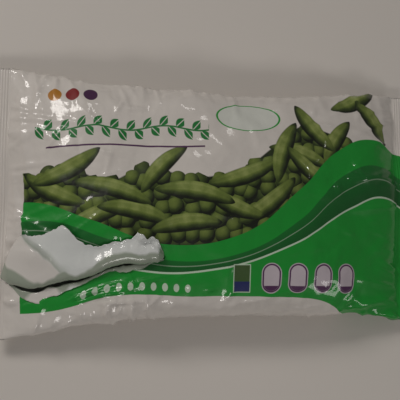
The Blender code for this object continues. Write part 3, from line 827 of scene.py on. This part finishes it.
class Field:
    """A number that varies over a surface. Python's operators on it add Math nodes."""

    def __init__(self, socket):
        self.socket = socket

    def node(self, kind):
        return self.socket.id_data.nodes.new(kind)

    def math(self, operation, *others, clamp=False):
        node = self.node("ShaderNodeMath")
        node.operation = operation
        node.use_clamp = clamp
        fill(node, dict(enumerate((self, *others))))
        return Field(node.outputs[0])

    def __add__(self, other):
        return self.math("ADD", other)

    def __sub__(self, other):
        return self.math("SUBTRACT", other)

    def __rsub__(self, other):
        return self.math("MULTIPLY_ADD", -1.0, other)

    def __mul__(self, other):
        return self.math("MULTIPLY", other)

    def __truediv__(self, other):
        return self.math("DIVIDE", other)

    def __abs__(self):
        return self.math("ABSOLUTE")

    def squared(self):
        return self.math("MULTIPLY", self)

    def most(self, other):
        return self.math("MAXIMUM", other)

    def wave(self, height, period):
        return (self * (2 * math.pi / period)).math("SINE") * height

    def in_row(self, pitch, slip=0.0):
        """Distance from the middle of one of many steps, a pitch apart."""
        return ((self / pitch + slip).math("FRACT") - 0.5) * pitch

    def above(self, edge, blur=PRINT_BLUR):
        """1 where this is above the edge, 0 below it."""
        return (self - edge).math("MULTIPLY_ADD", 1 / blur, 0.5, clamp=True)

    def below(self, edge, blur=PRINT_BLUR):
        return (self - edge).math("MULTIPLY_ADD", -1 / blur, 0.5, clamp=True)

    def between(self, low, high):
        return self.above(low) * self.below(high)

    def moved_to(self, other, share):
        """This field, moved a share of the way to another."""
        return self + (other - self) * share

    def curve(self, points, low=-0.13, high=0.08, reach=0.15):
        """The value at this of a line through (x, value) points, for x from -reach to reach."""
        node = self.node("ShaderNodeFloatCurve")
        line = node.mapping.curves[0]
        spots = [((x + reach) / (2 * reach), (value - low) / (high - low)) for x, value in points]
        line.points[0].location = spots[0]
        line.points[1].location = spots[-1]
        for spot in spots[1:-1]:
            line.points.new(*spot)
        node.mapping.update()
        fill(node, {"Value": self.math("MULTIPLY_ADD", 1 / (2 * reach), 0.5)})
        return Field(node.outputs[0]).math("MULTIPLY_ADD", high - low, low)


class Paint:
    """Builds one material's nodes round its Principled shader."""

    def __init__(self, name, roughness, coat=0.0):
        self.material = bpy.data.materials.new(name)
        self.material.use_nodes = True
        self.shader = self.material.node_tree.nodes["Principled BSDF"]
        fill(self.shader, {"Roughness": roughness, "Coat Weight": coat})
        fill(self.shader, {"Coat Roughness": COAT_ROUGHNESS, "Specular IOR Level": SPECULAR})

    def node(self, kind, **inputs):
        node = self.material.node_tree.nodes.new("ShaderNode" + kind)
        fill(node, inputs)
        return node

    def split(self, vector):
        """X and Y of a vector, as fields."""
        node = self.node("SeparateXYZ", Vector=vector)
        return Field(node.outputs[0]), Field(node.outputs[1])

    def film_place(self):
        node = self.node("UVMap")
        node.uv_map = "film"
        return node.outputs[0]

    def object_place(self):
        return self.node("TexCoord").outputs["Object"]

    def noise(self, place, scale, detail=2.0):
        node = self.node("TexNoise", Vector=place, Scale=scale, Detail=detail)
        return Field(node.outputs[0])

    def cell_centre(self, x, y, randomness):
        """The nearest centre, in a field of cells one unit apart."""
        place = self.node("CombineXYZ", X=x, Y=y).outputs[0]
        node = self.node("TexVoronoi", Vector=place, Scale=1.0, Randomness=randomness)
        node.voronoi_dimensions = "2D"
        return self.split(node.outputs["Position"])

    def mix(self, share, below, above):
        """One colour laid over another by a share. Each is a colour or a socket."""
        node = self.node("Mix")
        node.data_type = "RGBA"
        fill(node, {0: share, 6: below, 7: above})
        return node.outputs[2]

    def ramp(self, field, stops):
        node = self.node("ValToRGB")
        elements = node.color_ramp.elements
        while len(elements) < len(stops):
            elements.new(0.5)
        for element, (place, colour) in zip(elements, stops):
            element.position = place
            element.color = colour
        fill(node, {0: field})
        return node.outputs[0]

    def finish(self, colour, height, distance, strength):
        bump = self.node("Bump", Height=height, Distance=distance, Strength=strength)
        fill(self.shader, {"Base Color": colour, "Normal": bump.outputs[0]})
        return self.material


def pea_layer(paint, p, q, apart, radius, shift):
    """(mask, shade) of a layer of round peas whose centres lie under the heap's top line."""
    x = (p + shift[0]) / apart
    y = (q + shift[1]) / apart
    middle_x, middle_y = paint.cell_centre(x, y, PEA_SCATTER)
    off_x = (x - middle_x) * (apart / radius)
    off_y = (y - middle_y) * (apart / radius)
    off = off_x.squared() + off_y.squared()
    roof = (middle_x * apart - shift[0]).curve(HEAP_TOP)
    mask = off.below(1.0, 0.1) * (middle_y * apart - shift[1]).below(roof - radius * 0.8)
    shade = off_x * -0.22 + off_y * 0.38 + (1.0 - off) * 0.42 + 0.16
    return mask, shade


def turned(x, y, degrees):
    """Two fields, along axes that are turned by an angle."""
    turn = math.radians(degrees)
    return x * math.cos(turn) + y * math.sin(turn), y * math.cos(turn) - x * math.sin(turn)


def hypot(x, y):
    return (x.squared() + y.squared()).math("SQRT")


def printed_pod(p, q, at_p, at_q, degrees, half_length, half_width, bend):
    """(mask, shade) of one printed pod. Its upper side is lit, whichever way it's turned."""
    along, across = turned(p - at_p, q - at_q, degrees)
    u = along / half_length
    v = (across + u.squared() * bend) / half_width
    room = (1.0 - u.squared()).most(0.0).math("POWER", 0.62)
    inside = room - abs(v)
    beads = (u * (POD_BEADS * math.pi / 2)).math("COSINE").squared()
    upward = math.copysign(1.0, math.cos(math.radians(degrees)))
    ridge = abs(v - room * (0.66 * upward)).below(0.02, 0.3) * u.squared().below(0.75, 0.4) * 0.1
    dull_tip = u.above(0.9, 0.1) * 0.25
    light = v * (0.42 * upward) + inside * 0.44 + beads * room * 0.07 + ridge - dull_tip
    return inside.above(0.05, 0.1), light + 0.24


def leaf_sprig(p, q):
    """A running sprig: a wavy stem with leaves on both sides in turn."""
    off_q = q - p.wave(*STEM_WAVE) - STEM_Q
    sprig = abs(off_q).below(LINE_HALF_WIDTH)
    for side, slip in ((1.0, 0.0), (-1.0, 0.5)):
        along, across = turned(p.in_row(LEAF_PITCH, slip), off_q * side, LEAF_DEGREES)
        u = along / LEAF_SIZE[0] - 1.02
        v = across / LEAF_SIZE[1]
        leaf = (1.0 - u.squared() - abs(v)).above(0.0, 0.16)
        sprig = sprig.most(leaf * abs(v).above(0.1, 0.1))
    return sprig * p.between(*STEM_ENDS)


def beyond_capsule(p, q, at_p, at_q):
    """How far outside a capsule's outline, negative inside."""
    half_width, half_height = CAPSULE_SIZE
    beyond_middle = (abs(q - at_q) - (half_height - half_width)).most(0.0)
    return hypot(p - at_p, beyond_middle) - half_width


def beyond_box(p, q, at_p, at_q, half_length, half_height):
    """The same for a rectangle's outline."""
    return (abs(p - at_p) - half_length).most(abs(q - at_q) - half_height)


def paint_heap(paint, p, q, place, hill_top, in_block):
    """The white film with the heap of peas and pods on it."""
    heap = q.below(p.curve(HEAP_TOP) - 0.0045, 0.001)
    shade = paint.noise(place, 160) * 0.3
    for apart, radius, shift, brightness in PEA_LAYERS:
        mask, lit = pea_layer(paint, p, q, apart, radius, shift)
        shade = shade.moved_to(lit * brightness, mask)
        heap = heap.most(mask)
    for pod in PRINTED_PODS:
        mask, lit = printed_pod(p, q, *pod)
        shade = shade.moved_to(lit, mask)
        heap = heap.most(mask)
    shade = shade * 1.28 + paint.noise(place, 420) * 0.18 - 0.19
    return paint.mix(heap * q.above(hill_top - 0.002) * in_block, WHITE_FILM, paint.ramp(shade, OLIVES))


def paint_hills(paint, colour, p, q, place, hill_top, in_block):
    """Green hills with a darker band and a thin pale line."""
    dark_top = p.curve(DARK_TOP)
    dark_bottom = p.curve(DARK_BOTTOM)
    green = q.below(hill_top) * q.above(p.curve(GREEN_BOTTOM)) * in_block
    colour = paint.mix(green, colour, paint.mix(paint.noise(place, 30), BRIGHT_GREEN, MID_GREEN))
    band = q.below(dark_top) * q.above(dark_bottom) * in_block
    fade = ((q - dark_bottom) / (dark_top - dark_bottom).most(0.001)).math("ADD", 0.0, clamp=True)
    colour = paint.mix(band, colour, paint.mix(fade, DEEP_GREEN, BAND_GREEN))
    middle = dark_top * 0.55 + dark_bottom * 0.45
    colour = paint.mix(abs(q - middle).below(0.0003) * in_block * 0.45, colour, PALE_GREEN)
    return paint.mix(abs(q - dark_bottom).below(0.0006) * in_block, colour, PALE_GREEN)


def paint_discs(paint, colour, p, q):
    for k, tint in enumerate(DISC_COLOURS):
        off = hypot(p - (DISCS_AT[0] + DISC_PITCH * k), q - DISCS_AT[1])
        colour = paint.mix(off.below(DISC_RADIUS), colour, tint)
    return colour


def paint_sprig(paint, colour, p, q):
    """A sprig with a wavy rule under it."""
    colour = paint.mix(leaf_sprig(p, q), colour, LEAF_GREEN)
    rule = abs(q - p.wave(*RULE_WAVE) - RULE_Q).below(LINE_HALF_WIDTH)
    return paint.mix(rule * p.between(*RULE_ENDS), colour, PURPLE)


def paint_badge(paint, colour, p, q):
    """A bare oval with a green border."""
    oval = hypot((p - BADGE_AT[0]) / BADGE_SIZE[0], (q - BADGE_AT[1]) / BADGE_SIZE[1])
    colour = paint.mix(oval.below(1.0, 0.02), colour, BRIGHT_GREEN)
    return paint.mix(oval.below(BADGE_FIELD, 0.02), colour, BADGE_WHITE)


def paint_seeds(paint, colour, p, q):
    """A row of pale seeds along the green's lower edge."""
    off_q = q - p.curve(GREEN_BOTTOM) - SEED_RISE
    seed = (p.in_row(SEED_PITCH) / SEED_SIZE[0]).squared() + (off_q / SEED_SIZE[1]).squared()
    return paint.mix(seed.below(1.0, 0.25) * p.between(*SEED_ENDS), colour, PALE_GREEN)


def paint_tile(paint, colour, p, q):
    """A two-tone tile with a pale border."""
    outside = beyond_box(p, q, *TILE_AT, *TILE_SIZE)
    colour = paint.mix(outside.below(BORDER), colour, PALE_GREEN)
    colour = paint.mix(outside.below(0.0), colour, OLIVE)
    return paint.mix(outside.below(0.0) * q.below(TILE_SPLIT), colour, NAVY)


def paint_capsules(paint, colour, p, q):
    """A row of bare capsules, each with a ring and a dark foot."""
    for k in range(CAPSULES):
        outside = beyond_capsule(p, q, CAPSULES_AT[0] + CAPSULE_PITCH * k, CAPSULES_AT[1])
        for inset, tint in ((0.0, PALE_LILAC), (BORDER, PURPLE), (CAPSULE_RING, PALE_LILAC)):
            colour = paint.mix(outside.below(-inset), colour, tint)
        foot = outside.below(-CAPSULE_RING) * q.below(CAPSULE_SPLIT)
        colour = paint.mix(foot, colour, PURPLE)
    return colour


def paint_back(paint, colour, p, q):
    """Four plain frames."""
    for at_p, half_length in BACK_FRAMES_ALONG:
        for at_q, half_height in BACK_FRAMES_ACROSS:
            outside = beyond_box(p, q, at_p, at_q, half_length, half_height)
            colour = paint.mix(abs(outside).below(FRAME_HALF_WIDTH), colour, LEAF_GREEN)
    return colour


def printed_film():
    paint = Paint("printed_film", *FILM_GLOSS)
    place = paint.film_place()
    p, q = paint.split(place)
    hill_top = p.curve(HILL_TOP)
    in_block = p.above(PRINT_LEFT)
    colour = paint_heap(paint, p, q, place, hill_top, in_block)
    colour = paint_hills(paint, colour, p, q, place, hill_top, in_block)
    ornaments = (paint_discs, paint_sprig, paint_badge, paint_seeds, paint_tile, paint_capsules, paint_back)
    for ornament in ornaments:
        colour = ornament(paint, colour, p, q)
    crinkle = paint.noise(place, 240, 3.0) + paint.noise(place, 60)
    return paint.finish(colour, crinkle, 0.0006, 0.35)


def inner_film():
    """The bare side. Painted shade darkens the torn film where it lies over the bag's dark inside: along
    its fold, next to its tongue's ridge and on the cuff. Its tongue is warmer than the rest."""
    paint = Paint("inner_film", *FILM_GLOSS)
    place = paint.film_place()
    p, q = paint.split(place)
    fold = [(x, -Section(x).arc_on_front(y)) for x, y in FOLD_LINE]
    from_fold = p.curve(fold) - q
    # Painted shade: masks of the darker strips along the fold and next to the tongue's ridge
    painted_fold_shade = (from_fold - p.curve(FOLD_SHADE_TOP)).below(0.0, 0.0018) * from_fold.above(0.0)
    past_ridge = from_fold - p.curve(RIDGE_FOOT)
    painted_ridge_shade = past_ridge.above(0.0, 0.0016) * past_ridge.below(RIDGE_SHADE_WIDTH / 2, RIDGE_SHADE_WIDTH)
    at_tongue = p.below(*RIDGE_SHADE_END)
    shade = painted_fold_shade.most(painted_ridge_shade * at_tongue * RIDGE_SHADE_DEPTH) * p.below(TEAR_RIGHT)
    tongue = past_ridge.below(0.0, 0.003) * at_tongue
    colour = paint.mix(paint.noise(place, 90), INNER_FILM, INNER_SHADE)
    colour = paint.mix(tongue * TONGUE_WARMTH, colour, WHITE_FILM)
    # Lays the painted shade over the film's colour
    colour = paint.mix(shade, colour, PAINTED_SHADE_COLOUR)
    return paint.finish(colour, paint.noise(place, 260, 3.0), 0.0005, 0.35)


def pod_skin():
    """Green skin with a pale seam, a dull stalk end and specks of frost."""
    paint = Paint("pod_skin", 0.52)
    share, around = paint.split(paint.film_place())
    place = paint.object_place()
    tone = paint.noise(place, 90, 3.0)
    colour = paint.mix(tone, POD_DARK, POD_LIGHT)
    seam = around.below(0.025, 0.02).most(around.above(0.975, 0.02))
    colour = paint.mix(seam * 0.7, colour, POD_SEAM)
    colour = paint.mix(share.below(0.055, 0.01), colour, POD_STALK)
    frost = paint.noise(place, 700, 4.0).above(0.6, 0.12)
    colour = paint.mix(frost * 0.45, colour, FROST)
    return paint.finish(colour, paint.noise(place, 900) + frost, 0.0002, 0.5)


def floor_paint():
    paint = Paint("floor", 0.6)
    place = paint.object_place()
    colour = paint.mix(paint.noise(place, 3), FLOOR_DARK, FLOOR_LIGHT)
    return paint.finish(colour, paint.noise(place, 150), 0.0002, 0.2)


def pod_shape():
    """Points, faces and corner coordinates of one pod along X, arched towards +Y, its tips at Y = 0."""
    points, coords = [], []
    for i in range(POD_RINGS + 1):
        share = 0.5 - 0.5 * math.cos(math.pi * i / POD_RINGS)
        body = (4 * share * (1 - share)) ** 0.55 * (1 - 0.18 * (share - 0.35) ** 2)
        peas = 0.86 + 0.14 * math.cos(2 * math.pi * (PEAS_IN_POD * share - 0.5))
        arch = POD_ARCH * (1 - (2 * share - 1) ** 2)
        for j in range(POD_SIDES):
            turn = 2 * math.pi * j / POD_SIDES
            wide = POD_WIDTH / 2 * body * (SEAM_RIDGE if j == 0 else 1.0)
            thick = POD_THICKNESS / 2 * body * peas
            if share < STALK_SHARE:
                wide = thick = STALK_RADIUS
            elif share < CALYX_SHARE:
                flare = 1.0 + CALYX_FLARE * math.cos(CALYX_LOBES * turn)
                wide, thick = wide * flare, thick * flare
            across = math.copysign(abs(math.cos(turn)) ** 1.15, math.cos(turn))
            up = math.copysign(abs(math.sin(turn)) ** 0.9, math.sin(turn))
            points.append(((share - 0.5) * POD_LENGTH, arch + across * wide, up * thick))
            coords.append((share, j / POD_SIDES))
    faces, uv = [], []
    for i in range(POD_RINGS):
        for j in range(POD_SIDES):
            k = (j + 1) % POD_SIDES
            row = i * POD_SIDES
            faces.append([row + j, row + POD_SIDES + j, row + POD_SIDES + k, row + k])
            near, far = coords[row][0], coords[row + POD_SIDES][0]
            low, high = j / POD_SIDES, (j + 1) / POD_SIDES
            uv += [(near, low), (far, low), (far, high), (near, high)]
    last = POD_RINGS * POD_SIDES
    for face in (list(range(POD_SIDES)), list(range(last, last + POD_SIDES))[::-1]):
        faces.append(face)
        uv += [coords[corner] for corner in face]
    return np.array(points), faces, uv


def pod_place(node):
    """Where a CAD pod lies: its tips' middle, and its long, arched and thin directions."""
    points = vertex_rows(node.data, "co").astype(float)
    middle = points.mean(axis=0)
    stalk = points[np.argmax(np.linalg.norm(points - middle, axis=1))]
    tip = points[np.argmax(np.linalg.norm(points - stalk, axis=1))]
    if np.linalg.norm(stalk - middle) > np.linalg.norm(tip - middle):
        stalk, tip = tip, stalk
    along = (tip - stalk) / np.linalg.norm(tip - stalk)
    arch = middle - (stalk + tip) / 2
    arch -= along * (arch @ along)
    arch /= np.linalg.norm(arch)
    return (stalk + tip) / 2, np.stack([along, arch, np.cross(along, arch)])


def build_pods(nodes, material):
    """One piece with a finer pod in each CAD pod's place."""
    shape, shape_faces, shape_uv = pod_shape()
    points, faces, uv = [], [], []
    for node in nodes:
        middle, axes = pod_place(node)
        faces += [[len(points) + corner for corner in face] for face in shape_faces]
        points += (middle + shape @ axes).tolist()
        uv += shape_uv
    return mesh_piece("pods", points, faces, [material], uv)


def area_light(name, place, power, size, colour):
    """A square light that shines at the bag."""
    data = bpy.data.lights.new(name, "AREA")
    data.energy = power
    data.size = size
    data.color = colour
    light = add_object(name, data)
    light.location = place
    light.rotation_euler = (-Vector(place)).to_track_quat("-Z", "Y").to_euler()


def add_camera():
    """The photograph's view: from above, a little from the left and from the -Y side."""
    data = bpy.data.cameras.new("camera")
    data.lens = CAMERA_LENS
    camera = add_object("camera", data)
    left, forward = (math.tan(math.radians(tilt)) for tilt in CAMERA_TILT)
    away = Vector((-left, -forward, 1.0)).normalized()
    right = (-away).cross(Vector((0, 1, 0))).normalized()
    place = Matrix((right, right.cross(-away), away)).transposed().to_4x4()
    place.translation = Vector(CAMERA_TARGET) + CAMERA_DISTANCE * away
    camera.matrix_world = place
    bpy.context.scene.camera = camera


def add_studio():
    """A pale floor, and lamps all round, too low for flat film to mirror them, so only its creases glint."""
    side = FLOOR_HALF_SIDE
    corners = [(-side, -side, 0), (side, -side, 0), (side, side, 0), (-side, side, 0)]
    mesh_piece("floor", corners, [(0, 1, 2, 3)], [floor_paint()])
    for lamp in LAMPS:
        area_light(*lamp)
    world = bpy.data.worlds.new("world")
    world.use_nodes = True
    sky = world.node_tree.nodes["Background"]
    sky.inputs["Color"].default_value = SKY_COLOUR
    sky.inputs["Strength"].default_value = SKY_STRENGTH
    bpy.context.scene.world = world
    bpy.context.scene.view_settings.view_transform = "Standard"


film = build_film()
bag = mesh_piece("film", film.points, film.faces, [printed_film(), inner_film()], film.corner_coordinates())
raise_points(bag, relief(film))
thickness = bag.modifiers.new("thickness", "SOLIDIFY")
thickness.thickness = FILM_THICKNESS
thickness.offset = -1.0
thickness.material_offset = 1
thickness.material_offset_rim = 1
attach(bag, "root")
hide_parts("film_bag")

pod_nodes = {name: node for name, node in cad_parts.items() if name.startswith("pod_")}
pods = build_pods(pod_nodes.values(), pod_skin())
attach(pods, "root")
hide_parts(*pod_nodes)

add_camera()
add_studio()
